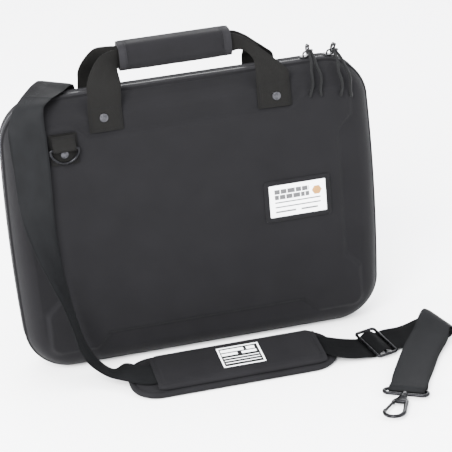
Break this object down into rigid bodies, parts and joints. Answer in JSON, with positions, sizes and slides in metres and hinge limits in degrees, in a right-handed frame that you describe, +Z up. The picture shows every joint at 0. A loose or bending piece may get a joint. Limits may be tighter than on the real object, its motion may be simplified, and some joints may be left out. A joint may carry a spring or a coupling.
{
  "type": "miniature carry case",
  "caption": "Fabric-covered moulded zip case for gaming miniatures, with webbing handles, foam compartments and a shoulder strap laid out in front.",
  "frame": {"origin": "the middle of the case's standing spine, on the surface it stands on", "axes": "+Z up to the handles, front face with the label towards -Y, +X to the viewer's right"},
  "size_m": [0.4498, 0.3392, 0.3445],
  "materials": {
    "shell_fabric": "tight plain-weave fabric laminated over moulded foam",
    "tape_fabric": "woven zip tape",
    "zip_coil": "black nylon coil",
    "webbing": "ribbed webbing, slightly olive black",
    "strap_webbing": "smooth satin webbing with a cool sheen",
    "nickel": "black nickel plate",
    "rivet_steel": "plain steel rivet caps",
    "label_print": "white printed card",
    "foam": "charcoal foam",
    "wrap_fabric": "padded woven wrap with bound edges",
    "pad_fabric": "padded fabric with a bound edge",
    "cord": "braided pull cord"
  },
  "bodies": {
    "front_half": {"front_shell": "shell_fabric", "zip_tape_front": "tape_fabric", "zip_chain_front": "zip_coil", "spine_hinge": "tape_fabric", "handle_strap_front": "webbing", "handle_rivet_front_left": "rivet_steel", "handle_rivet_front_right": "rivet_steel", "handle_wrap": "wrap_fabric", "d_ring_tab_front": "webbing", "d_ring_rivet_front": "rivet_steel", "label_frame": "shell_fabric", "label_card": "label_print", "foam_base": "foam", "foam_row_lower": "foam", "foam_row_upper": "foam", "foam_upright_1": "foam", "foam_upright_2": "foam", "foam_upright_3": "foam", "foam_upright_4": "foam", "strap_rear_run": "strap_webbing", "strap_front_run": "strap_webbing", "strap_return_run": "strap_webbing", "hook_eye_front": "nickel"},
    "rear_half": {"rear_shell": "shell_fabric", "zip_tape_rear": "tape_fabric", "zip_chain_rear": "zip_coil", "handle_strap_rear": "webbing", "handle_rivet_rear_left": "rivet_steel", "handle_rivet_rear_right": "rivet_steel", "d_ring_tab_rear": "webbing", "d_ring_rear": "nickel", "d_ring_rivet_rear": "rivet_steel", "egg_crate_pad": "foam", "hook_eye_rear": "nickel", "hook_body_rear": "nickel", "hook_gate_rear": "nickel"},
    "grip_closure": {"grip_flap": "wrap_fabric"},
    "d_ring": {"d_ring_front": "nickel"},
    "slider_left": {"zip_slider_left": "nickel"},
    "pull_left": {"zip_ring_left": "nickel", "zip_cord_left": "cord"},
    "slider_right": {"zip_slider_right": "nickel"},
    "pull_right": {"zip_ring_right": "nickel", "zip_cord_right": "cord"},
    "shoulder_pad": {"shoulder_pad_base": "pad_fabric", "shoulder_pad_sleeve": "pad_fabric", "shoulder_pad_label": "label_print"},
    "tri_glide": {"tri_glide_frame": "nickel", "tri_glide_bar": "nickel"},
    "snap_hook": {"hook_body_front": "nickel"},
    "snap_gate": {"hook_gate_front": "nickel"}
  },
  "joints": [
    {"name": "case_opening", "type": "hinge", "parent": "front_half", "child": "rear_half", "pos_m": [0, 0, 0], "axis": [-1, 0, 0], "range_deg": [0, 60], "deforming": ["spine_hinge", "strap_rear_run", "grip_flap"]},
    {"name": "grip_flap_peel", "type": "hinge", "parent": "front_half", "child": "grip_closure", "pos_m": [-0.005, 0.0106, 0.3445], "axis": [1, 0, 0], "range_deg": [0, 100]},
    {"name": "d_ring_swing", "type": "hinge", "parent": "front_half", "child": "d_ring", "pos_m": [-0.134, -0.0397, 0.254], "axis": [-1, 0, 0], "range_deg": [0, 150]},
    {"name": "left_slider_run", "type": "slide", "parent": "front_half", "child": "slider_left", "axis": [-1, 0, 0], "range_m": [0, 0.235], "deforming": ["zip_cord_left"]},
    {"name": "left_pull_swing", "type": "hinge", "parent": "slider_left", "child": "pull_left", "pos_m": [0.136, 0, 0.30635], "axis": [-1, 0, 0], "range_deg": [0, 55]},
    {"name": "right_slider_turn", "type": "hinge", "parent": "front_half", "child": "slider_right", "pos_m": [0.1475, 0, 0.252], "axis": [0, 1, 0], "range_deg": [0, 72], "deforming": ["zip_cord_right"]},
    {"name": "right_pull_swing", "type": "hinge", "parent": "slider_right", "child": "pull_right", "pos_m": [0.16248, 0, 0.30424], "axis": [-0.9613, 0, 0.2756], "range_deg": [0, 55]},
    {"name": "pad_shift", "type": "slide", "parent": "front_half", "child": "shoulder_pad", "axis": [1, 0, 0], "range_m": [0, 0.014], "deforming": ["strap_front_run"]},
    {"name": "glide_shift", "type": "slide", "parent": "front_half", "child": "tri_glide", "axis": [-0.9537, -0.3007, 0], "range_m": [0, 0.018], "deforming": ["strap_front_run", "strap_return_run"]},
    {"name": "hook_swivel", "type": "hinge", "parent": "front_half", "child": "snap_hook", "pos_m": [0.16, -0.216, 0.0045], "axis": [0.5476, 0.8368, 0], "continuous": true},
    {"name": "hook_gate_swing", "type": "hinge", "parent": "snap_hook", "child": "snap_gate", "pos_m": [0.14161, -0.23205, 0.0045], "axis": [0, 0, 1], "range_deg": [0, 22]}
  ]
}
